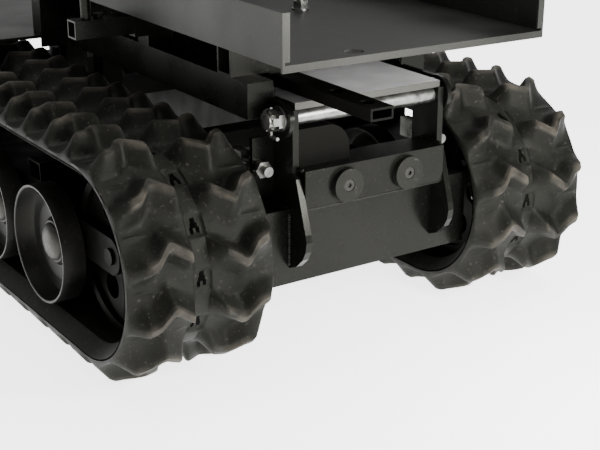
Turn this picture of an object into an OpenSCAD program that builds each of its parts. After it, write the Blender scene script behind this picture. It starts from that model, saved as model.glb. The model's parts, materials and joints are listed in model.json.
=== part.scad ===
// Tracked undercarriage of a small tipping carrier: two rubber tracks, welded frame,
// front hinge with rubber stops, tipping channel frame and shallow load tray.
// Millimetres. +Z up, -Y is the hinge end, +X is the right side.
// Origin on the ground, at the middle of the machine.

/* [Tracks] */
// Track pitch
pitch = 60; // [60:0.1:60.3]
// Width of each rubber track
track_w = 180; // [176:1:184]
// Distance from the machine's middle to each track's middle
track_x = 240; // [240:0.5:246]
// Height of the tread lugs
lug_h = 25; // [20:0.5:25]
// Thickness of the belt between the lugs
belt_t = 20.5; // [19:0.5:20.5]

/* [Rollers] */
// Radius of the road rollers
roller_r = 73; // [68:0.5:75]
// Distance between roller axles
roller_pitch = 170; // [166:1:172]

/* [Frame] */
// Half width of the front cross box
box_half = 157; // [150:1:158]
// Radius of the hinge shaft
shaft_r = 10; // [8:0.5:10]
// Plate thickness of the cheeks
plate_t = 8; // [6:0.5:8]

/* [Tray] */
// Half width of the load tray
tray_half = 179.5; // [170:0.5:190]
// Height of the tray's walls above its floor
wall_h = 53; // [40:1:70]
// Sheet thickness of the tray
sheet = 3; // [2:0.5:4]

/* [Hidden] */
$fn = 48;

run_links = 13;
teeth = 12;
arc_links = teeth / 2;
pitch_r = teeth * pitch / (2 * PI);
outer_r = pitch_r + 1.4;
inner_r = outer_r - belt_t;
tip_r = outer_r + lug_h;
wheel_z = tip_r;
half_run = run_links * pitch / 2;
front_y = -half_run;
rear_y = half_run;
lip_t = 8;
lip_w = 18;
groove_w = 26;
skin_t = 4.5;
guide_in = 14;
guide_w = 13;
guide_h = 21;
guide_l = 26;

run_gap = 0.3;
roller_z = wheel_z - inner_r + roller_r + run_gap;
roller_1_y = -1.5 * roller_pitch;
roller_out = 83;
roller_in = 55;
rim_t = 5;
rim_in = 29;
rim_out = 45;
axle_r = 10;
fit = 0.05;

beam_half = 46.5;
beam_z0 = 88;
beam_z1 = 170;
tube_t = 4;
rail_x0 = 104;
rail_x1 = 140;
rail_z0 = 110;
rail_z1 = 170;
box_y0 = -475;
box_y1 = -425;
box_z0 = 95;
box_z1 = 187;
rear_tube_y0 = rear_y + 50;
rear_tube_y1 = rear_tube_y0 + 40;
shaft_fit_r = 15;

hinge_y = -467;
hinge_z = 293;
cheek_out = 108.6;
bar_y0 = -496.5;
bar_y1 = -450;
bar_z0 = 190;
bar_z1 = 236;
buffer_x = 44;
buffer_z = 212;
buffer_r = 20;
pin_x = 127;
tension_x = 127;
tension_z = 231;

beam_x0 = 113;
beam_x1 = 147;
tilt_z0 = 292;
tilt_z1 = 332.8;
tray_y0 = -571;
tray_y1 = 30;
floor_z = 377;
bearer_y = [-400, -40];

arm_x = -76;
arm_w = 30;
arm_h = 14;
arm_z = 323.5;
arm_y0 = -602;
side_arm_y = -204;
side_arm_z = 360;
side_arm_s = 22;
side_arm_end = 241;
stake_x = 222;

deck_z = 300;
deck_t = 4;
deck_half = 330;
deck_y0 = 42;
deck_y1 = 602;
bulkhead_top = 460;

paint = [0.09, 0.09, 0.09];
rubber = [0.24, 0.24, 0.22];
zinc = [0.75, 0.74, 0.70];
steel = [0.55, 0.55, 0.54];

// ---------- helpers ----------
// A box given by its low and high corners.
module block(low, high) {
  translate(low) cube(high - low);
}

// The same block on both sides of the machine.
module block_pair(low, high) {
  block(low, high);
  mirror([1, 0, 0]) block(low, high);
}

// A hollow tube along X, Y or Z, given by its corners and wall.
module box_tube(low, high, wall, axis) {
  grow = [axis == 0 ? 1 : 0, axis == 1 ? 1 : 0, axis == 2 ? 1 : 0];
  shrink = [axis == 0 ? 0 : wall, axis == 1 ? 0 : wall, axis == 2 ? 0 : wall];
  difference() {
    block(low, high);
    block(low + shrink - grow, high - shrink + grow);
  }
}

// A cylinder along X from x0 to x1.
module rod_x(x0, x1, r, y, z) {
  translate([x0, y, z]) rotate([0, 90, 0]) cylinder(r = r, h = x1 - x0);
}

// A cylinder along Y from y0 to y1.
module rod_y(y0, y1, r, x, z) {
  translate([x, y1, z]) rotate([90, 0, 0]) cylinder(r = r, h = y1 - y0);
}

// An outline in the YZ plane, extruded along X from x0 to x1.
module slab_x(x0, x1, outline) {
  translate([x0, 0, 0]) rotate([90, 0, 90]) linear_extrude(x1 - x0) polygon(outline);
}

// Half of a tread lug: steep on its leading side, sloping behind, with cut-back ends.
module half_lug() {
  base = 13;
  crest = 4;
  inner = 10;
  outer = track_w / 2 - 2;
  depth = 2 * base + 2;
  intersection() {
    translate([inner, 0, 0]) rotate([90, 0, 90]) linear_extrude(outer - inner)
      polygon([[-base, -6], [base, -6], [crest, lug_h], [-crest, lug_h]]);
    translate([0, depth / 2, 0]) rotate([90, 0, 0]) linear_extrude(depth)
      polygon([[inner, -7], [outer, -7], [outer, 4], [outer - 15, lug_h], [inner + 12, lug_h], [inner, 8]]);
  }
}

// Both halves of one tread lug, set apart along the track.
module lug_pair() {
  stagger = 9;
  translate([0, stagger, 0]) half_lug();
  translate([0, -stagger, 0]) rotate(180) half_lug();
}

// The pair of guide lugs on the inside of one link.
module guide_pair() {
  for (s = [-1, 1])
    translate([s * (guide_in + guide_w / 2) - guide_w / 2, -guide_l / 2, -belt_t - guide_h])
      cube([guide_w, guide_l, guide_h + 4]);
}

// One straight run, 1 for the upper and -1 for the lower.
module track_run(side, up) {
  w = track_w / 2;
  translate([side * track_x, 0, wheel_z]) rotate([up > 0 ? 0 : 180, 0, 0]) color(rubber) difference() {
    union() {
      block([-w, -half_run, outer_r - lip_t], [w, half_run, outer_r]);
      block([lip_w - w, -half_run, inner_r], [w - lip_w, half_run, outer_r - 1]);
      for (i = [0 : run_links - 1]) translate([0, (i + 0.5) * pitch - half_run, outer_r]) {
        lug_pair();
        guide_pair();
      }
    }
    block([-groove_w / 2, -half_run - 1, inner_r - 1], [groove_w / 2, half_run + 1, outer_r - skin_t]);
  }
}

// One half-round end, 1 for the rear and -1 for the front.
module track_end(side, back) {
  w = track_w / 2;
  far = tip_r + 1;
  translate([side * track_x, back * half_run, wheel_z]) rotate([back > 0 ? 0 : 180, 0, 0])
    color(rubber) difference() {
      union() {
        rod_x(-w, w, outer_r, 0, 0);
        for (i = [0 : arc_links - 1])
          rotate([-(i + 0.5) * 180 / arc_links, 0, 0]) translate([0, 0, outer_r]) lug_pair();
      }
      rod_x(-w - 1, lip_w - w, outer_r - lip_t, 0, 0);
      rod_x(w - lip_w, w + 1, outer_r - lip_t, 0, 0);
      difference() {
        rod_x(lip_w - w - 1, w - lip_w + 1, inner_r, 0, 0);
        for (i = [0 : arc_links - 1])
          rotate([-(i + 0.5) * 180 / arc_links, 0, 0]) translate([0, 0, outer_r]) guide_pair();
      }
      rod_x(-groove_w / 2, groove_w / 2, outer_r - skin_t, 0, 0);
      block([-w - 1, -far, -far], [w + 1, 0, far]);
    }
}
module track_left_top() { track_run(-1, 1); }
module track_left_bottom() { track_run(-1, -1); }
module track_left_front() { track_end(-1, -1); }
module track_left_rear() { track_end(-1, 1); }
module track_right_top() { track_run(1, 1); }
module track_right_bottom() { track_run(1, -1); }
module track_right_front() { track_end(1, -1); }
module track_right_rear() { track_end(1, 1); }

// One road wheel: a wide rim, a dished disc and a hub, on the +X side of the beam.
module road_wheel(y) {
  hub_r = 18;
  difference() {
    union() {
      difference() {
        rod_x(roller_in, roller_out, roller_r, y, roller_z);
        rod_x(roller_in - 1, roller_out + 1, roller_r - rim_t, y, roller_z);
      }
      rod_x(roller_in, roller_in + rim_t, roller_r - rim_t + 1, y, roller_z);
      rod_x(beam_half + 1, roller_in + 8, hub_r, y, roller_z);
    }
    rod_x(0, roller_out, axle_r + fit, y, roller_z);
  }
}

module roller(side, number) {
  y = roller_1_y + (number - 1) * roller_pitch;
  translate([side * track_x, 0, 0])
    color(paint) for (m = [0, 1]) mirror([m, 0, 0]) road_wheel(y);
}
module roller_left_1() { roller(-1, 1); }
module roller_left_2() { roller(-1, 2); }
module roller_left_3() { roller(-1, 3); }
module roller_left_4() { roller(-1, 4); }
module roller_right_1() { roller(1, 1); }
module roller_right_2() { roller(1, 2); }
module roller_right_3() { roller(1, 3); }
module roller_right_4() { roller(1, 4); }

// Front idler: two rims outside the guide lugs, spoked discs and a long hub.
module idler(side) {
  rim = 11;
  translate([side * track_x, 0, 0]) color(paint) difference() {
    union() {
      for (m = [0, 1]) mirror([m, 0, 0]) {
        difference() {
          rod_x(rim_in, rim_out, inner_r - run_gap, front_y, wheel_z);
          rod_x(rim_in - 1, rim_out + 1, inner_r - rim, front_y, wheel_z);
        }
        rod_x(rim_in + 4, rim_in + 10, inner_r - rim + 1, front_y, wheel_z);
      }
      rod_x(-rim_out, rim_out, 26, front_y, wheel_z);
    }
    rod_x(-rim_out - 1, rim_out + 1, axle_r + fit, front_y, wheel_z);
    for (a = [0 : 60 : 300])
      rod_x(-rim_out, rim_out, 16, front_y + 55 * cos(a), wheel_z + 55 * sin(a));
  }
}
module idler_left() { idler(-1); }
module idler_right() { idler(1); }

// Rear sprocket: twelve teeth that run in the belt's groove.
module sprocket(side) {
  half = 9;
  hub = 20;
  root_r = inner_r - 2;
  tooth_tip = outer_r - 6;
  translate([side * track_x, 0, 0]) color(paint) difference() {
    union() {
      rod_x(-half, half, root_r, rear_y, wheel_z);
      rod_x(-hub, hub, 30, rear_y, wheel_z);
      for (i = [0 : teeth - 1])
        translate([0, rear_y, wheel_z]) rotate([i * 360 / teeth, 0, 0])
          slab_x(-half, half, [[-8, root_r - 4], [8, root_r - 4], [5, tooth_tip], [-5, tooth_tip]]);
    }
    rod_x(-hub - 1, hub + 1, shaft_fit_r, rear_y, wheel_z);
    for (a = [15 : 60 : 315])
      rod_x(-half - 1, half + 1, 12, rear_y + 56 * cos(a), wheel_z + 56 * sin(a));
  }
}
module sprocket_left() { sprocket(-1); }
module sprocket_right() { sprocket(1); }

// Output shaft from the gearbox to the sprocket.
module drive_shaft(side) {
  x0 = 50;
  x1 = track_x + 24;
  color(steel) mirror([side < 0 ? 1 : 0, 0, 0]) rod_x(x0, x1, shaft_fit_r, rear_y, wheel_z);
}
module drive_shaft_left() { drive_shaft(-1); }
module drive_shaft_right() { drive_shaft(1); }

module track_beam(side) {
  y0 = front_y + 102;
  y1 = rear_y - 104;
  translate([side * track_x, 0, 0]) color(paint) difference() {
    box_tube([-beam_half, y0, beam_z0], [beam_half, y1, beam_z1], tube_t, 1);
    for (i = [0 : 3])
      rod_x(-beam_half - 1, beam_half + 1, axle_r, roller_1_y + i * roller_pitch, roller_z);
  }
}
module track_beams() {
  track_beam(-1);
  track_beam(1);
}

// Two plates that carry the idler's axle in front of the track beam.
module idler_fork(side) {
  half_h = 22;
  back = front_y + 114;
  translate([side * track_x, 0, 0]) color(paint) for (m = [0, 1]) mirror([m, 0, 0]) difference() {
    union() {
      block([beam_half, front_y, wheel_z - half_h], [beam_half + 6, back, wheel_z + half_h]);
      rod_x(beam_half, beam_half + 6, half_h, front_y, wheel_z);
    }
    rod_x(beam_half - 1, beam_half + 7, axle_r, front_y, wheel_z);
  }
}
module idler_forks() {
  idler_fork(-1);
  idler_fork(1);
}

// All wheel axles: one for each idler and roller.
module axles() {
  color(steel) for (s = [-1, 1]) {
    x = s * track_x;
    rod_x(x - 56, x + 56, axle_r, front_y, wheel_z);
    for (i = [0 : 3])
      rod_x(x - 66, x + 66, axle_r, roller_1_y + i * roller_pitch, roller_z);
  }
}

// ---------- chassis ----------
module front_cross_box() {
  color(paint) box_tube([-box_half, box_y0, box_z0], [box_half, box_y1, box_z1], 5, 0);
}

module chassis_rail(side) {
  color(paint) mirror([side < 0 ? 1 : 0, 0, 0]) difference() {
    box_tube([rail_x0, box_y1, rail_z0], [rail_x1, rear_tube_y0, rail_z1], tube_t, 1);
    rod_x(rail_x0 - 1, rail_x1 + 1, 22, rear_y, wheel_z);
  }
}
module chassis_rails() {
  chassis_rail(-1);
  chassis_rail(1);
}

module cross_tube(y) {
  x = track_x + beam_half;
  color(paint) box_tube([-x, y - 18, rail_z1], [x, y + 18, rail_z1 + 26], 3, 0);
}
module cross_tubes() {
  cross_tube(-roller_pitch);
  cross_tube(roller_pitch);
}

module rear_cross_tube() {
  color(paint) box_tube([-rail_x1, rear_tube_y0, rail_z0], [rail_x1, rear_tube_y1, rail_z1], tube_t, 0);
}

// Posts that the tilting beams rest on.
module rest_posts() {
  y = -54;
  color(paint) block_pair([beam_x0, y - 15, rail_z1], [rail_x1, y + 15, tilt_z0]);
}

module deck_posts() {
  color(paint) {
    block_pair([rail_x0 + 3, deck_y0 + 12, rail_z1], [rail_x1 - 3, deck_y0 + 42, deck_z]);
    block_pair([rail_x0 + 3, rear_tube_y0 + 5, rail_z1], [rail_x1 - 3, rear_tube_y1 - 5, deck_z]);
  }
}

module deck_plate() {
  color(paint) difference() {
    union() {
      block([-deck_half, deck_y0, deck_z], [deck_half, deck_y1, deck_z + deck_t]);
      block([-deck_half, deck_y1 - deck_t, deck_z - 16], [deck_half, deck_y1, deck_z + deck_t]);
    }
    for (x = [-80, 80], y = [deck_y0 + 250, deck_y0 + 400])
      translate([x, y, deck_z - 1]) cylinder(r = 4.5, h = deck_t + 2);
  }
}

// Folded sheet panel across the front of the deck.
module bulkhead() {
  t = 4;
  y = deck_y0 - t;
  half = tray_half;
  color(paint) union() {
    block([-half, y, deck_z - 12], [half, deck_y0, bulkhead_top]);
    block([-half, y, bulkhead_top - t], [half, deck_y0 + 24, bulkhead_top]);
    block_pair([half - t, y, deck_z + deck_t], [half, deck_y0 + 24, bulkhead_top]);
  }
}

// ---------- drive ----------
module gearbox() {
  y0 = rear_y - 48;
  color("dimgray") difference() {
    union() {
      block([-52, y0 + 8, wheel_z - 50], [52, rear_tube_y0, wheel_z + 50]);
      rod_x(-60, 60, 46, rear_y, wheel_z);
      block([-60, y0, wheel_z - 6], [60, rear_tube_y0, wheel_z + 6]);
      translate([0, rear_y - 10, wheel_z + 49]) cylinder(r = 26, h = 20);
    }
    rod_x(-61, 61, shaft_fit_r + fit, rear_y, wheel_z);
    translate([0, rear_y - 10, wheel_z + 40]) cylinder(r = 11 + fit, h = 40);
  }
}

module input_shaft() {
  color(steel) translate([0, rear_y - 10, wheel_z + 40.2]) cylinder(r = 11, h = 60);
}

module axle_housing(side) {
  x1 = track_x - 22;
  color("dimgray") mirror([side < 0 ? 1 : 0, 0, 0]) difference() {
    union() {
      rod_x(60, x1, 22, rear_y, wheel_z);
      rod_x(60, 72, 40, rear_y, wheel_z);
    }
    rod_x(59, x1 + 1, shaft_fit_r + fit, rear_y, wheel_z);
  }
}
module axle_housings() {
  axle_housing(-1);
  axle_housing(1);
}

// Cheek plate on the box: a rounded nose in front, the hinge shaft near its top.
module hinge_cheek(side) {
  outline = [[-475, 115], [-490, 121], [-503, 133], [-509, 144], [-511, 156], [-509, 165], [-489, 226],
    [-483, 232], [-482, 304], [-440, 304], [-434, 267], [-434, box_z1], [-475, box_z1]];
  color(paint) mirror([side < 0 ? 1 : 0, 0, 0]) difference() {
    slab_x(cheek_out - plate_t, cheek_out, outline);
    rod_x(cheek_out - plate_t - 1, cheek_out + 1, shaft_r, hinge_y, hinge_z);
  }
}
module hinge_cheek_left() { hinge_cheek(-1); }
module hinge_cheek_right() { hinge_cheek(1); }

// Folded cover plate on top of both cheeks.
module top_plate() {
  half = 104;
  color(paint) block([-half, -480, 304], [half, -346, 312]);
}

// Cover plate that stands on the bar beside the left cheek, with one round shoulder.
module latch_cover() {
  back = bar_y1 - 4;
  face = -478;
  corner = 30;
  right = -27;
  top = 280;
  color(paint) difference() {
    union() {
      block([-100, face, bar_z1], [right, back, top - corner]);
      block([-100, face, bar_z1], [right - corner, back, top]);
      rod_y(face, back, corner, right - corner, top - corner);
    }
    block([-100, face - 1, bar_z1 - 2 * corner], [right + 1, back + 1, bar_z1]);
  }
}

module buffer_bar() {
  half = cheek_out - plate_t;
  color(paint) difference() {
    box_tube([-half, bar_y0, bar_z0], [half, bar_y1, bar_z1], tube_t, 0);
    for (s = [-1, 1]) rod_y(bar_y0 - 1, bar_y0 + tube_t + 1, 4, s * buffer_x, buffer_z);
  }
}

// Rubber stops, each with a sunk screw.
module buffers() {
  proud = 7;
  color(rubber) for (s = [-1, 1]) difference() {
    rod_y(bar_y0 - proud, bar_y0, buffer_r, s * buffer_x, buffer_z);
    rod_y(bar_y0 - proud - 1, bar_y0 + 1, 4, s * buffer_x, buffer_z);
    rod_y(bar_y0 - proud - 1, bar_y0 - 3, 7.5, s * buffer_x, buffer_z);
  }
}

module buffer_screws() {
  color(zinc) for (s = [-1, 1]) difference() {
    union() {
      rod_y(bar_y0 - 6.5, bar_y0 - 3, 7, s * buffer_x, buffer_z);
      rod_y(bar_y0 - 3.5, bar_y0 + 12, 3.95, s * buffer_x, buffer_z);
    }
    translate([s * buffer_x, bar_y0 - 4.5, buffer_z]) rotate([90, 0, 0]) cylinder(r = 3, h = 4, $fn = 6);
  }
}

// Shaft with a flat head at the right end and a nut and split pin at the left end.
module hinge_shaft() {
  head_x = 117;
  head_t = 5;
  head_r = 14;
  color(zinc) difference() {
    union() {
      rod_x(-135, head_x + 1, shaft_r, hinge_y, hinge_z);
      rod_x(head_x, head_x + head_t, head_r, hinge_y, hinge_z);
    }
    translate([-pin_x, hinge_y, hinge_z - 20]) cylinder(r = 2.1, h = 40);
  }
}

module castle_nut() {
  x0 = 118;
  nut_h = 14;
  color(zinc) mirror([1, 0, 0]) difference() {
    translate([x0, hinge_y, hinge_z]) rotate([0, 90, 0]) cylinder(r = 14.6, h = nut_h, $fn = 6);
    rod_x(x0 - 1, x0 + nut_h + 1, shaft_r, hinge_y, hinge_z);
    for (a = [0, 60, 120])
      translate([pin_x - 2.5, hinge_y, hinge_z]) rotate([a, 0, 0]) translate([0, -2.5, -20]) cube([9, 5, 40]);
  }
}

// Split pin through the nut's slots, with one end bent forward.
module split_pin() {
  below = 19;
  above = 15;
  color(zinc) {
    translate([-pin_x, hinge_y, hinge_z - below]) cylinder(r = 2, h = below + above);
    rod_y(hinge_y - 13, hinge_y + 2, 2, -pin_x, hinge_z - below);
  }
}

// Upright plates that the tension rods pass through.
module tension_brackets() {
  color(paint) for (s = [-1, 1]) difference() {
    block([s * (cheek_out + 14) - 14, -442, box_z1], [s * (cheek_out + 14) + 14, -436, 267]);
    rod_y(-443, -435, 6, s * tension_x, tension_z);
  }
}

// Threaded rods, with the flat anchor that each one pulls.
module tension_rods() {
  y1 = -411;
  color(zinc) for (s = [-1, 1]) {
    rod_y(-462, y1, 6, s * tension_x, tension_z);
    block([s * tension_x - 6, y1, tension_z - 12], [s * tension_x + 6, y1 + 26, tension_z + 12]);
  }
}

// Webs under the rods' anchors, standing on the rails.
module anchor_webs() {
  x0 = tension_x - 6;
  color(paint) block_pair([x0, -411, rail_z1], [x0 + 12, -385, tension_z - 12]);
}

module tension_nuts() {
  nut_h = 9;
  nut_r = 10.5;
  color(zinc) for (s = [-1, 1], y = [-452, -436]) difference() {
    translate([s * tension_x, y + nut_h, tension_z]) rotate([90, 0, 0])
      cylinder(r = nut_r, h = nut_h, $fn = 6);
    rod_y(y - 1, y + nut_h + 1, 6, s * tension_x, tension_z);
  }
}

// Side beam of the tipping frame, with a round-ended ear on the hinge shaft. The right one starts further back.
module tilt_beam(side) {
  y0 = side < 0 ? -450 : -396;
  y1 = 20;
  ear_x = 110;
  ear_t = 6;
  ear_r = 22;
  color(paint) mirror([side < 0 ? 1 : 0, 0, 0]) difference() {
    union() {
      box_tube([beam_x0, y0, tilt_z0], [beam_x1, y1, tilt_z1], tube_t, 1);
      block([beam_x0, y0, tilt_z0], [beam_x1, y0 + tube_t, tilt_z1]);
      rod_x(ear_x, ear_x + ear_t, ear_r, hinge_y, hinge_z);
      block([ear_x, hinge_y, tilt_z0], [ear_x + ear_t, y0 + 60, tilt_z0 + ear_r]);
    }
    rod_x(ear_x - 1, ear_x + ear_t + 1, shaft_r + fit, hinge_y, hinge_z);
  }
}
module tilt_beam_left() { tilt_beam(-1); }
module tilt_beam_right() { tilt_beam(1); }

// Cross bearers between the tilting beams and the tray floor.
module tray_bearers() {
  color(paint) for (y = bearer_y)
    box_tube([-beam_x1, y - 15, tilt_z1], [beam_x1, y + 15, floor_z], 3, 0);
}

// Guide tube for the front arm.
module front_arm_guide() {
  wall = 2;
  gap = 0.3;
  side_wall = 4.5;
  color(paint) box_tube([arm_x - arm_w / 2 - gap - side_wall, -415, arm_z - arm_h / 2 - gap - wall],
    [arm_x + arm_w / 2 + gap + side_wall, -25, arm_z + arm_h / 2 + gap + wall], wall, 1);
}

// Flat extension arm for the front panel, with two holes near its end.
module front_arm() {
  color(paint) difference() {
    box_tube([arm_x - arm_w / 2, arm_y0, arm_z - arm_h / 2],
      [arm_x + arm_w / 2, -140, arm_z + arm_h / 2], 2.5, 1);
    for (y = [-575, -518])
      translate([arm_x, y, arm_z]) cylinder(r = 8.5, h = arm_h);
  }
}

// Guide tube for the side arms, on pads between the beams and the tray floor.
module side_arm_guide() {
  wall = 3;
  h = side_arm_s / 2 + 0.3 + wall;
  color(paint) union() {
    box_tube([-165, side_arm_y - h, side_arm_z - h], [165, side_arm_y + h, side_arm_z + h], wall, 0);
    block_pair([beam_x0, side_arm_y - h, tilt_z1], [beam_x1, side_arm_y + h, side_arm_z - h]);
  }
}

// Square side arm with its upright stake and lock bolt.
module side_arm(side) {
  h = side_arm_s / 2;
  color(paint) mirror([side < 0 ? 1 : 0, 0, 0]) union() {
    box_tube([15, side_arm_y - h, side_arm_z - h], [side_arm_end, side_arm_y + h, side_arm_z + h], 2, 0);
    translate([stake_x, side_arm_y, side_arm_z + h]) cylinder(r = 6, h = 60);
    translate([stake_x - 16, side_arm_y, side_arm_z + h]) cylinder(r = 6.5, h = 6, $fn = 6);
  }
}
module side_arm_left() { side_arm(-1); }
module side_arm_right() { side_arm(1); }

// Shallow tray, open at the front, with a turned-down lip and turned-in wall ends.
module tray() {
  lip = 5;
  flange = 9;
  top = floor_z + sheet + wall_h;
  color(paint) difference() {
    union() {
      block([-tray_half, tray_y0, floor_z], [tray_half, tray_y1, floor_z + sheet]);
      block([-tray_half, tray_y0, floor_z - lip], [tray_half, tray_y0 + sheet, floor_z + sheet]);
      block([-tray_half, tray_y1 - sheet, floor_z], [tray_half, tray_y1, top]);
      block_pair([tray_half - sheet, tray_y0, floor_z], [tray_half, tray_y1, top]);
      block_pair([tray_half - flange, tray_y0, floor_z + 6], [tray_half, tray_y0 + sheet, top]);
    }
    translate([arm_x, tray_y0 + 21, floor_z - 1]) cylinder(r = 11, h = sheet + 2);
  }
}

// Bolt ends that stand on the floor, each with its nut and washer.
module tray_bolts() {
  bolt_x = 10;
  color(zinc) for (y = [-320, -80]) translate([bolt_x, y, floor_z + sheet]) {
    cylinder(r = 11, h = 2);
    cylinder(r = 9.8, h = 11, $fn = 6);
    cylinder(r = 5, h = 19);
  }
}

front_cross_box();
hinge_cheek_left();
hinge_cheek_right();
top_plate();
latch_cover();
buffer_bar();
buffers();
buffer_screws();
hinge_shaft();
castle_nut();
split_pin();
chassis_rails();
cross_tubes();
rest_posts();
track_beams();
idler_forks();
tension_brackets();
tension_rods();
anchor_webs();
tension_nuts();
axles();
gearbox();
axle_housings();
rear_cross_tube();
track_left_top();
track_left_front();
track_left_bottom();
track_left_rear();
track_right_top();
track_right_front();
track_right_bottom();
track_right_rear();
deck_posts();
deck_plate();
bulkhead();
tilt_beam_left();
tilt_beam_right();
tray_bearers();
front_arm_guide();
side_arm_guide();
tray();
tray_bolts();
front_arm();
side_arm_left();
side_arm_right();
roller_left_1();
roller_left_2();
roller_left_3();
roller_left_4();
roller_right_1();
roller_right_2();
roller_right_3();
roller_right_4();
idler_left();
idler_right();
sprocket_left();
sprocket_right();
drive_shaft_left();
drive_shaft_right();
input_shaft();
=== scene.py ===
import json
import math

import bpy
from mathutils import Matrix, Vector


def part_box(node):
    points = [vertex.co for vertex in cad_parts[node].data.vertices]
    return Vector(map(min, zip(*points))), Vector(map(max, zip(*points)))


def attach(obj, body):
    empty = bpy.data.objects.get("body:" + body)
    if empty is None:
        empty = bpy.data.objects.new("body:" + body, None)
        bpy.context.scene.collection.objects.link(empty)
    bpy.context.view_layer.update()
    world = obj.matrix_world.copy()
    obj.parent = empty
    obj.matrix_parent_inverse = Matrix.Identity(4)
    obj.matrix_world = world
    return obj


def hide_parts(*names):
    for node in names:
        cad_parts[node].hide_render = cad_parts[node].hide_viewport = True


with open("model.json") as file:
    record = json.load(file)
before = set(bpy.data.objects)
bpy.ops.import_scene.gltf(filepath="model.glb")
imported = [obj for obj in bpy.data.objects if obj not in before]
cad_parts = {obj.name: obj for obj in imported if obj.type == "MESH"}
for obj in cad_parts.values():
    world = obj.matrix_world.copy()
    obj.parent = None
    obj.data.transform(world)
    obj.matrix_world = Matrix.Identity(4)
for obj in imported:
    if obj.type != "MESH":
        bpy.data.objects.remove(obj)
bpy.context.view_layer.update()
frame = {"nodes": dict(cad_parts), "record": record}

MM = 0.001
CHASSIS = "chassis"
TILT = "tray_frame"
SIDES = ((-1, "left"), (1, "right"))


# ---------- materials ----------
DUST = (0.25, 0.23, 0.2)


def material(name, dark, light, rough, metallic=0.0, scale=30.0, grain=400.0, bump=0.15, specks=0.0,
             worn=None, shine=0.5, side_shade=None):
    """Cloudy colour between dark and light, roughness between the two values of rough, and fine relief.

    specks is how strongly dust shows, worn is the colour where the mesh is marked as worn, and the faces that
    don't look up get the side colour, which is painted shade.
    """
    mat = bpy.data.materials.new(name)
    mat.use_nodes = True
    nodes, links = mat.node_tree.nodes, mat.node_tree.links
    shader = nodes["Principled BSDF"]
    shader.inputs["Metallic"].default_value = metallic
    shader.inputs["Specular IOR Level"].default_value = shine
    shader.inputs["Specular Tint"].default_value = (1, 1, 0.88, 1)
    place = nodes.new("ShaderNodeTexCoord")

    def noise(size, detail):
        node = nodes.new("ShaderNodeTexNoise")
        node.inputs["Scale"].default_value = size
        node.inputs["Detail"].default_value = detail
        links.new(place.outputs["Object"], node.inputs["Vector"])
        return node.outputs["Fac"]

    def remap(value, low, high, out_low=0.0, out_high=1.0):
        """The value's stretch from low to high, spread from out_low to out_high."""
        node = nodes.new("ShaderNodeMapRange")
        node.inputs["From Min"].default_value = low
        node.inputs["From Max"].default_value = high
        node.inputs["To Min"].default_value = out_low
        node.inputs["To Max"].default_value = out_high
        links.new(value, node.inputs["Value"])
        return node.outputs["Result"]

    def mix(amount, first, second):
        """From first to second, which are plain colours or other nodes' outputs."""
        node = nodes.new("ShaderNodeMix")
        node.data_type = "RGBA"
        links.new(amount, node.inputs["Factor"])
        for socket, colour in ((node.inputs["A"], first), (node.inputs["B"], second)):
            if isinstance(colour, tuple):
                socket.default_value = (*colour, 1)
            else:
                links.new(colour, socket)
        return node.outputs["Result"]

    cloud = noise(scale, 6)
    ramp = nodes.new("ShaderNodeValToRGB")
    for element, position, colour in zip(ramp.color_ramp.elements, (0.35, 0.68), (dark, light)):
        element.position = position
        element.color = (*colour, 1)
    links.new(cloud, ramp.inputs["Fac"])
    colour = ramp.outputs["Color"]
    if specks:
        colour = mix(remap(noise(grain * 0.6, 2), 0.62, 0.75, out_high=specks), colour, DUST)
    if worn:
        mark = nodes.new("ShaderNodeAttribute")
        mark.attribute_name = "wear"
        patchy = nodes.new("ShaderNodeMath")
        patchy.operation = "MULTIPLY"
        links.new(remap(noise(38, 4), 0.36, 0.66), patchy.inputs[0])
        links.new(mark.outputs["Fac"], patchy.inputs[1])
        colour = mix(patchy.outputs["Value"], colour, worn)
    # painted shade: faces whose normal doesn't point up are blended to the darker side colour
    if side_shade:
        facing = nodes.new("ShaderNodeSeparateXYZ")
        links.new(place.outputs["Normal"], facing.inputs["Vector"])
        colour = mix(remap(facing.outputs["Z"], 0.75, 0.95), side_shade, colour)
    links.new(colour, shader.inputs["Base Color"])
    links.new(remap(cloud, 0.3, 0.7, *rough), shader.inputs["Roughness"])
    relief = nodes.new("ShaderNodeBump")
    relief.inputs["Strength"].default_value = bump
    relief.inputs["Distance"].default_value = 0.6 * MM
    links.new(noise(grain, 3), relief.inputs["Height"])
    links.new(relief.outputs["Normal"], shader.inputs["Normal"])
    return mat


RUBBER = material("track_rubber", (0.0034, 0.0036, 0.0029), (0.0076, 0.0078, 0.0064), (0.5, 0.7), scale=22,
                  bump=0.45, specks=0.10, worn=(0.048, 0.042, 0.034), shine=0.14)
PAINT = material("black_paint", (0.0024, 0.0025, 0.0021), (0.0044, 0.0045, 0.0039), (0.2, 0.34), scale=14,
                 bump=0.08, specks=0.03, shine=0.11)
TRAY = material("tray_paint", (0.0052, 0.0053, 0.0050), (0.0095, 0.0096, 0.0090), (0.36, 0.52), scale=9,
                bump=0.08, specks=0.06, shine=0.2)
# the top plate's pale colour is a painted reflection of the bright studio on its black paint, with painted
# shade on the faces that don't look up; the specks are dust
PAINTED_REFLECTION_PLATE = material("plate_painted_reflection", (0.70, 0.69, 0.69), (0.86, 0.85, 0.85), (0.3, 0.42), bump=0.1, specks=0.2,
                 side_shade=(0.02, 0.02, 0.018))
WHEEL = material("wheel_paint", (0.002, 0.002, 0.002), (0.006, 0.0058, 0.0055), (0.35, 0.55), scale=25,
                 specks=0.05, shine=0.15)
CAP = material("hub_cap", (0.007, 0.0067, 0.006), (0.016, 0.015, 0.0135), (0.4, 0.6), scale=60, specks=0.2,
               shine=0.35)
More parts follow.
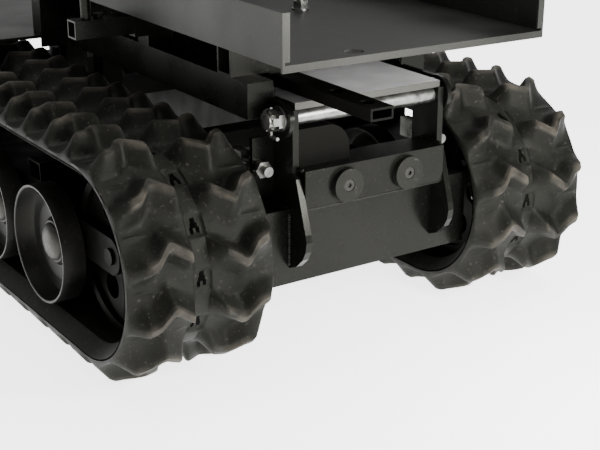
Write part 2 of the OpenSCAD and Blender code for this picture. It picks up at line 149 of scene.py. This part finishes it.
# lighter grey for the rims' outer end faces: a painted highlight
RIM_HIGHLIGHT = material("painted_rim_highlight", (0.008, 0.008, 0.007), (0.036, 0.035, 0.032), (0.4, 0.6), scale=90, shine=0.2)
ZINC = material("zinc", (0.10, 0.10, 0.094), (0.25, 0.25, 0.235), (0.22, 0.4), metallic=0.95, scale=60)
STEEL = material("turned_steel", (0.10, 0.10, 0.10), (0.2, 0.2, 0.19), (0.3, 0.45), metallic=0.9, scale=80)
CAST = material("cast_grey", (0.012, 0.012, 0.012), (0.03, 0.03, 0.029), (0.5, 0.7), scale=50, bump=0.8,
                shine=0.3)
DARK = material("dark_steel", (0.005, 0.005, 0.0045), (0.012, 0.011, 0.010), (0.3, 0.45), scale=70,
                shine=0.25)
# painted shade: a near-black copy of the paint for the parts in IN_SHADE, darker than their own finish; the
# specks are dust
PAINTED_SHADE_BLACK = material("painted_shade_black", (0.0005, 0.0005, 0.0004), (0.0016, 0.0015, 0.0013), (0.4, 0.6), specks=0.01,
                 shine=0.05)
WELD = material("weld", (0.002, 0.002, 0.0018), (0.006, 0.006, 0.0055), (0.35, 0.5), scale=200, bump=0.6,
                shine=0.15)


# ---------- mesh helpers ----------
def piece(name, verts, faces, mats, body, slot, face_mats=None, sharp=38, place=None, wear=None):
    """A new object made from vertices in metres, shaded, given its materials and put on its body.

    wear marks the first vertices as worn, from 0 to 1, and the rest as not worn.
    """
    mesh = bpy.data.meshes.new(name)
    mesh.from_pydata([tuple(v) for v in verts], [], faces)
    for mat in mats:
        mesh.materials.append(mat)
    if face_mats:
        mesh.polygons.foreach_set("material_index", face_mats)
    mesh.polygons.foreach_set("use_smooth", [True] * len(mesh.polygons))
    mesh.set_sharp_from_angle(angle=math.radians(sharp))
    if wear:
        layer = mesh.attributes.new("wear", "FLOAT", "POINT")
        layer.data.foreach_set("value", wear + [0.0] * (len(verts) - len(wear)))
    mesh.update()
    obj = bpy.data.objects.new(name, mesh)
    bpy.context.scene.collection.objects.link(obj)
    if place:
        obj.matrix_world = place
    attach(obj, body)
    return obj


def centre_of(node):
    """The middle of a node's box, in metres."""
    low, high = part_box(node)
    return [(a + b) / 2 for a, b in zip(low, high)]


def lathe(profile, turns):
    """Vertices and faces of a closed profile of (x, radius) points in mm, turned about X."""
    verts, faces = [], []
    count = len(profile)
    for k in range(turns):
        angle = 2 * math.pi * k / turns
        for x, r in profile:
            verts.append(Vector((x, r * math.cos(angle), r * math.sin(angle))) * MM)
    for k in range(turns):
        near, far = k * count, (k + 1) % turns * count
        for i in range(count):
            j = (i + 1) % count
            faces.append((near + i, near + j, far + j, far + i))
    return verts, faces


def loft(rings, verts, faces):
    """Adds a closed solid that joins rings with equal numbers of points."""
    base, count = len(verts), len(rings[0])
    for ring in rings:
        verts.extend(ring)
    for i in range(len(rings) - 1):
        a, b = base + i * count, base + (i + 1) * count
        for k in range(count):
            m = (k + 1) % count
            faces.append((a + k, b + k, b + m, a + m))
    last = base + (len(rings) - 1) * count
    faces.append(tuple(base + k for k in range(count)))
    faces.append(tuple(last + k for k in range(count))[::-1])


def weld(name, start, end, body, size=3.2):
    """A weld bead with its ripples, from start to end in mm."""
    ring_step = 1.1
    ring_points = 8
    a, b = Vector(start), Vector(end)
    along = (b - a).normalized()
    side = along.orthogonal().normalized()
    other = along.cross(side)
    steps = max(6, int((b - a).length / ring_step))
    rings = []
    for i in range(steps + 1):
        ripple = 1 + 0.16 * math.sin(i * 2.1) + 0.07 * math.sin(i * 0.73)
        taper = min(1.0, 0.35 + 0.3 * min(i, steps - i))
        middle = a + (b - a) * i / steps
        ring = []
        for k in range(ring_points):
            angle = 2 * math.pi * k / ring_points
            spoke = side * math.cos(angle) + other * math.sin(angle)
            ring.append((middle + spoke * size * ripple * taper) * MM)
        rings.append(ring)
    verts, faces = [], []
    loft(rings[::-1], verts, faces)
    piece(name, verts, faces, [WELD], body, "black_paint", sharp=60)


# ---------- tracks ----------
# Sizes are in mm. x runs across the belt, s along the loop, and h is the height over the outer surface.
PITCH = 60.0
TEETH = 12
RUN = 13 * PITCH
ARC = TEETH / 2 * PITCH
LOOP = 2 * (RUN + ARC)
LINKS = int(LOOP / PITCH)
# The lugs' height, the belt's thickness under them and half its width, and then the shape of its edges.
LUG = 25.0
BELT = 20.5
HALF = 90
BEVEL = 1.2
EDGE_LOW = -6.5
# The moulded line and the recess with its slit, where two links meet.
SEAM_HEIGHT = 1.1
RECESS_DEPTH = 3.2
SLIT_DEPTH = 8
# The outer surface lies this far outside the sprocket's pitch circle.
COVER = 1.4
OUTER = TEETH * PITCH / (2 * math.pi) + COVER
WHEEL_Z = OUTER + LUG

# From the belt's middle outwards: how far the lug's crest runs ahead, and the lug's share of its full height.
CREST = [(13, -3.5), (45, 15.5), (61, -0.5), (88, -7.5)]
LUG_RISE = [(9, 0), (20, 0.97), (23, 1), (70, 1), (74, 0.96), (90, 0.1)]
# Along the belt from the crest: the lug's share of its full height.
LUG_FACE = [(-19, 0), (-14, 0.1), (-4.5, 0.94), (-3, 1), (3, 1), (4.5, 0.94), (12, 0.45), (19, 0.14), (27, 0)]
# Guide lug: height, half its size across and half its size along.
GUIDE = [(-BELT + 3, 6.5, 13), (-BELT, 6.5, 13), (-BELT - 12, 5.6, 11), (-BELT - 19, 4.6, 8),
         (-BELT - 21, 3.2, 6)]
GUIDE_X = 20.5


def on_track(x, s, h):
    """The point at x, s and h, in metres, for a belt in the middle of the machine."""
    s = s % LOOP
    if s < RUN:
        y, z = s - RUN / 2, OUTER + h
    elif s < RUN + ARC:
        turn = math.pi * (s - RUN) / ARC
        y, z = RUN / 2 + (OUTER + h) * math.sin(turn), (OUTER + h) * math.cos(turn)
    elif s < 2 * RUN + ARC:
        y, z = RUN / 2 - (s - RUN - ARC), -OUTER - h
    else:
        turn = math.pi * (s - 2 * RUN - ARC) / ARC
        y, z = -RUN / 2 - (OUTER + h) * math.sin(turn), -(OUTER + h) * math.cos(turn)
    return Vector((x, y, z + WHEEL_Z)) * MM


def between(points, u):
    """Straight-line value at u of a list of (place, value) points."""
    if u <= points[0][0]:
        return points[0][1]
    for (u0, v0), (u1, v1) in zip(points, points[1:]):
        if u <= u1:
            return v0 + (v1 - v0) * (u - u0) / (u1 - u0)
    return points[-1][1]


def ease(t):
    """0 below 0, 1 above 1 and smooth between."""
    t = min(1.0, max(0.0, t))
    return t * t * (3 - 2 * t)


def crest(x):
    """How far along the belt a lug's crest lies from the middle of its link, at x across."""
    u = abs(x)
    ahead = sum(between(CREST, u + shift) for shift in (-3, -1, 1, 3)) / 4
    return ahead if x < 0 else -ahead


def seam(u, s):
    """Height of the moulded line where two links meet, at u from the belt's middle."""
    line = min(s, PITCH - s)
    return SEAM_HEIGHT * ease((2.4 - line) / 1.4) * ease((u - 18) / 4) * ease((84 - u) / 4)


def window(u, s):
    """Depth of the recess where two links meet, with its forked slit, at u from the belt's middle."""
    if u >= 13:
        return 0.0
    off = s if s < PITCH / 2 else s - PITCH
    depth = RECESS_DEPTH * ease((13.5 - abs(off)) / 3) * ease((12.5 - u) / 3)
    slit_x = (7 - off) * 0.33
    if -8 < off < 7 and abs(u - slit_x) < 1.5:
        depth += SLIT_DEPTH
    return depth


def tread(x, s):
    """Height of the outer surface at x across and s along one link, from 0 to the pitch."""
    u = abs(x)
    height = seam(u, s)
    for lug in (-0.5, 0.5, 1.5):
        ahead = s - lug * PITCH - crest(x)
        height = max(height, LUG * between(LUG_RISE, u) * between(LUG_FACE, ahead if x < 0 else -ahead))
    return height - window(u, s)


def row_place(x, e):
    """Place along the link of the row e at x across: zigzag near the crest, straight where two links meet."""
    bend = crest(x) if abs(x) > 13 else crest(13) * x / 13
    return PITCH / 2 + e + bend * min(1, (30 - abs(e)) / 24)


def skin(verts, faces, wear):
    """Adds the belt's outer surface, lugs included, as one moulded sheet closed down to the belt's edge."""
    inside = [-12 + 1.5 * k for k in range(17)]
    outside = [15 + 3 * k for k in range(25)] + [HALF - BEVEL]
    across = [-u for u in reversed(outside)] + inside + outside
    ahead = [0, 3, 4.5, 7, 9.5, 12, 15, 18, 21, 24, 27, 28.6]
    link_rows = [-e for e in reversed(ahead[1:])] + ahead + [30]
    places = [[row_place(x, e) for x in across] for e in link_rows]
    heights = [[tread(x, s) for x, s in zip(across, line)] for line in places]
    base = len(verts)
    for link in range(LINKS):
        start = link * PITCH
        for place, height in zip(places, heights):
            left, right = start + place[0], start + place[-1]
            verts.append(on_track(-HALF, left, EDGE_LOW))
            verts.append(on_track(-HALF, left, min(height[0], -BEVEL)))
            verts.extend(on_track(x, start + s, h) for x, s, h in zip(across, place, height))
            verts.append(on_track(HALF, right, min(height[-1], -BEVEL)))
            verts.append(on_track(HALF, right, EDGE_LOW))
            wear.extend([0.0] * 2 + [ease((h / LUG - 0.8) / 0.2) for h in height] + [0.0] * 2)
    count = len(across) + 4
    rows = LINKS * len(link_rows)
    for r in range(rows):
        near, far = base + r * count, base + (r + 1) % rows * count
        for c in range(count - 1):
            faces.append((near + c, near + c + 1, far + c + 1, far + c))


def carcass(verts, faces):
    """Adds the belt under its skin: thin at both edges, thick in the middle, with a groove for the teeth."""
    top, edge, step = -4.5, -8, PITCH / 8
    across = [-HALF, BEVEL - HALF, -72, -45, -29, -13, 13, 29, 45, 72, HALF - BEVEL, HALF]
    under = [EDGE_LOW, edge] + [-BELT] * 8 + [edge, EDGE_LOW]
    groove = across.index(-13)
    base, count = len(verts), len(across)
    rows = int(LOOP / step)
    for r in range(rows):
        verts.extend(on_track(x, r * step, top) for x in across)
        verts.extend(on_track(x, r * step, h) for x, h in zip(across, under))
    for r in range(rows):
        near, far = base + r * 2 * count, base + (r + 1) % rows * 2 * count
        for c in range(count - 1):
            faces.append((near + c, near + c + 1, far + c + 1, far + c))
            if c != groove:
                faces.append((near + count + c, far + count + c, far + count + c + 1, near + count + c + 1))
        for c in (0, groove, groove + 1, count - 1):
            faces.append((near + c, far + c, far + count + c, near + count + c))


def guide_lug(x, s, verts, faces):
    """Adds one tapered lug inside the belt, at x across and s along."""
    corners = ((-1, -1), (1, -1), (1, 1), (-1, 1))
    rings = [[on_track(x + a * half_x, s + b * half_s, h) for a, b in corners] for h, half_x, half_s in GUIDE]
    loft(rings, verts, faces)


def track(side):
    """One whole belt, which stands for the CAD's runs and ends."""
    verts, faces, wear = [], [], []
    skin(verts, faces, wear)
    carcass(verts, faces)
    for link in range(LINKS):
        for x in (-GUIDE_X, GUIDE_X):
            guide_lug(x, (link + 0.5) * PITCH, verts, faces)
    nodes = [name for name in frame["nodes"] if name.startswith("track_" + side)]
    middle = Vector((centre_of(nodes[0])[0], 0, 0))
    verts = [v + middle for v in verts]
    belt = piece("belt_" + side, verts, faces, [RUBBER], CHASSIS, "rubber", sharp=34, wear=wear)
    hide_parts(*nodes)


for _, side in SIDES:
    track(side)


# ---------- rollers ----------
# Closed (x, radius) profiles in mm from the roller's middle plane: one pressed wheel and its domed cap.
WHEEL_PROFILE = [(55, 73), (56, 72.9), (82, 72.9), (83, 72.2), (83, 70.6), (82.2, 69.4), (66, 66.5), (61, 63),
                 (59.5, 58), (60.2, 50), (61.5, 44), (60.2, 38), (60, 30), (64, 26), (64, 10.05),
                 (47.5, 10.05), (47.5, 18), (54, 18), (55, 22), (55, 66), (55, 70)]
CAP_PROFILE = [(60, 24), (63, 24), (66.5, 22.6), (69.5, 19), (71.6, 13.5), (72.6, 7), (72.8, 0.2),
               (66.3, 0.2), (66.3, 10.4), (60, 10.4)]
RIM = WHEEL_PROFILE.index((83, 72.2))


def both_ends(verts, faces):
    """The mesh and its mirror image in the roller's middle plane."""
    mirrored = [Vector((-v.x, v.y, v.z)) for v in verts]
    shifted = [tuple(i + len(verts) for i in face) for face in faces]
    return verts + mirrored, [face[::-1] for face in faces] + shifted


def rollers():
    """Every road roller, with a painted highlight on the outer end face of its rims."""
    wheel_verts, wheel_faces = both_ends(*lathe(WHEEL_PROFILE, 72))
    cap_verts, cap_faces = both_ends(*lathe(CAP_PROFILE, 48))
    # painted highlight: the rim's outer end face takes the lighter material
    rim_highlight_faces = [int(i % len(WHEEL_PROFILE) == RIM) for i in range(len(wheel_faces))]
    for _, side in SIDES:
        for number in range(1, 5):
            node = f"roller_{side}_{number}"
            body = node + "_body"
            place = Matrix.Translation(centre_of(node))
            wheel = piece(node + "_wheel", wheel_verts, wheel_faces, [WHEEL, RIM_HIGHLIGHT], body, "wheel_paint",
                          rim_highlight_faces, place=place)
            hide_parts(node)
            piece(node + "_cap", cap_verts, cap_faces, [CAP], body, "wheel_paint", sharp=50, place=place)


rollers()


# ---------- carried-over nodes ----------
LOOKS = {"rubber": RUBBER, "black_paint": PAINT, "wheel_paint": WHEEL, "zinc": ZINC, "steel": STEEL,
         "cast_grey": CAST}
SPECIAL = {"top_plate": PAINTED_REFLECTION_PLATE, "buffer_screws": DARK, "tray": TRAY}
# parts that take the painted shade instead of their own look
IN_SHADE = ("axles", "chassis_rails", "cross_tubes", "front_arm", "gearbox", "idler_forks", "idler_left",
            "idler_right", "latch_cover", "rest_posts", "track_beams")
# Width in mm of the rounded edges, where it isn't PLAIN_BEND.
BENDS = {"tray": 1.6, "top_plate": 1.5, "front_cross_box": 2.0, "buffer_bar": 3.0, "latch_cover": 2.5,
         "tilt_beam_left": 7, "tilt_beam_right": 7, "buffers": 1.4, "hinge_cheek_left": 0.9,
         "hinge_cheek_right": 0.9, "deck_plate": 1.5, "bulkhead": 1.5}
PLAIN_BEND = 0.7
slots = {part["node"]: part["material_slot"] for part in frame["record"]["subparts"]}


def dress(name, obj):
    """Gives a CAD node its look and rounds its edges."""
    look = PAINTED_SHADE_BLACK if name in IN_SHADE else SPECIAL.get(name, LOOKS[slots[name]])
    if obj.data.materials:
        for slot in obj.material_slots:
            slot.material = look
    else:
        obj.data.materials.append(look)
    bevel = obj.modifiers.new("edges", "BEVEL")
    bevel.width = BENDS.get(name, PLAIN_BEND) * MM
    bevel.segments = 3
    bevel.limit_method = "ANGLE"
    bevel.angle_limit = math.radians(40)


for name, obj in frame["nodes"].items():
    if not name.startswith(("track_left", "track_right", "roller_")):
        dress(name, obj)


# ---------- welds and washer ----------
CHEEK_IN, CHEEK_OUT = 100.6, 108.6
for sign, side in SIDES:
    inner, outer = sign * CHEEK_IN, sign * CHEEK_OUT
    weld(f"weld_nose_{side}", (outer, -475, 118), (outer, -475, 184), CHASSIS)
    weld(f"weld_foot_{side}", (outer, -470, 187), (outer, -437, 187), CHASSIS)
    weld(f"weld_bar_{side}", (inner, -492, 236), (inner, -454, 236), CHASSIS, 2.6)
    weld(f"weld_bracket_{side}", (sign * 110, -442, 187), (sign * 135, -442, 187), CHASSIS, 2.4)
    # the right beam starts further back than the left one
    ear_x, ear_y = sign * 112.5, -448 if sign < 0 else -394
    weld(f"weld_ear_{side}", (ear_x, ear_y, 300), (ear_x, ear_y, 326), TILT, 2.4)
weld("weld_seam", (-97, -496, 190.4), (97, -496, 190.4), CHASSIS, 1.2)

# washer between the left tilting ear and the castle nut
WASHER_PROFILE = [(-116.1, 10.1), (-117.9, 10.1), (-117.9, 15.0), (-117.7, 15.2), (-116.1, 15.2)]
_, hinge_y, hinge_z = centre_of("hinge_shaft")
piece("hinge_washer", *lathe(WASHER_PROFILE, 40), [ZINC], CHASSIS, "zinc",
      place=Matrix.Translation((0, hinge_y, hinge_z)))


# ---------- floor and light ----------
def studio_floor(half, glow):
    """A pale floor, half a side of it in metres, that glows a little so that it comes out near white."""
    mesh = bpy.data.meshes.new("floor")
    drop = -0.5 * MM
    mesh.from_pydata([(-half, -half, drop), (half, -half, drop), (half, half, drop), (-half, half, drop)], [],
                     [(0, 1, 2, 3)])
    look = material("studio_floor", (0.86, 0.86, 0.86), (0.92, 0.92, 0.92), (0.8, 0.9), scale=2, bump=0.0)
    shader = look.node_tree.nodes["Principled BSDF"]
    shader.inputs["Emission Color"].default_value = (1, 1, 1, 1)
    shader.inputs["Emission Strength"].default_value = glow
    mesh.materials.append(look)
    obj = bpy.data.objects.new("floor", mesh)
    bpy.context.scene.collection.objects.link(obj)


def area_light(name, place, aim, size, power):
    """A round lamp of this size in metres at place, turned towards aim."""
    lamp = bpy.data.lights.new(name, "AREA")
    lamp.shape = "DISK"
    lamp.size = size
    lamp.energy = power
    obj = bpy.data.objects.new(name, lamp)
    obj.location = place
    obj.rotation_euler = (Vector(aim) - Vector(place)).to_track_quat("-Z", "Y").to_euler()
    bpy.context.scene.collection.objects.link(obj)


studio_floor(half=25, glow=3.2)
world = bpy.data.worlds.new("studio")
bpy.context.scene.world = world
world.use_nodes = True
sky = world.node_tree.nodes["Background"]
sky.inputs["Color"].default_value = (1, 1, 1, 1)
sky.inputs["Strength"].default_value = 0.45
area_light("top_light", (0.2, -0.4, 2.6), (0, -0.3, 0.2), 2.2, 55)
area_light("front_light", (0.6, -3.0, 0.9), (0, -0.4, 0.2), 1.4, 3)
area_light("back_light", (3.6, 1.5, 1.9), (0, -0.3, 0.3), 2.4, 42)
area_light("low_light", (0.16, -1.0, 0.41), (0, -0.40, 0.312), 0.26, 8.5)


# ---------- camera ----------
def aimed(place, heading, down, roll):
    """The camera's matrix. heading turns from +Y towards +X; all angles are in degrees."""
    heading, down, roll = math.radians(heading), math.radians(down), math.radians(roll)
    level_reach = math.cos(down)
    forward = Vector((math.sin(heading) * level_reach, math.cos(heading) * level_reach, -math.sin(down)))
    level = Vector((math.cos(heading), -math.sin(heading), 0))
    upright = level.cross(forward)
    right = math.cos(roll) * level + math.sin(roll) * upright
    up = math.cos(roll) * upright - math.sin(roll) * level
    return Matrix.Translation(place) @ Matrix((right, up, -forward)).transposed().to_4x4()


lens = bpy.data.cameras.new("camera")
lens.lens = 75.68
lens.sensor_width = 36
lens.shift_x = -0.1055
lens.shift_y = 0.0394
lens.clip_start = 0.05
camera = bpy.data.objects.new("camera", lens)
camera.matrix_world = aimed((-0.857, -1.614, 0.6646), heading=36.916, down=21.053, roll=1.296)
bpy.context.scene.collection.objects.link(camera)
bpy.context.scene.camera = camera
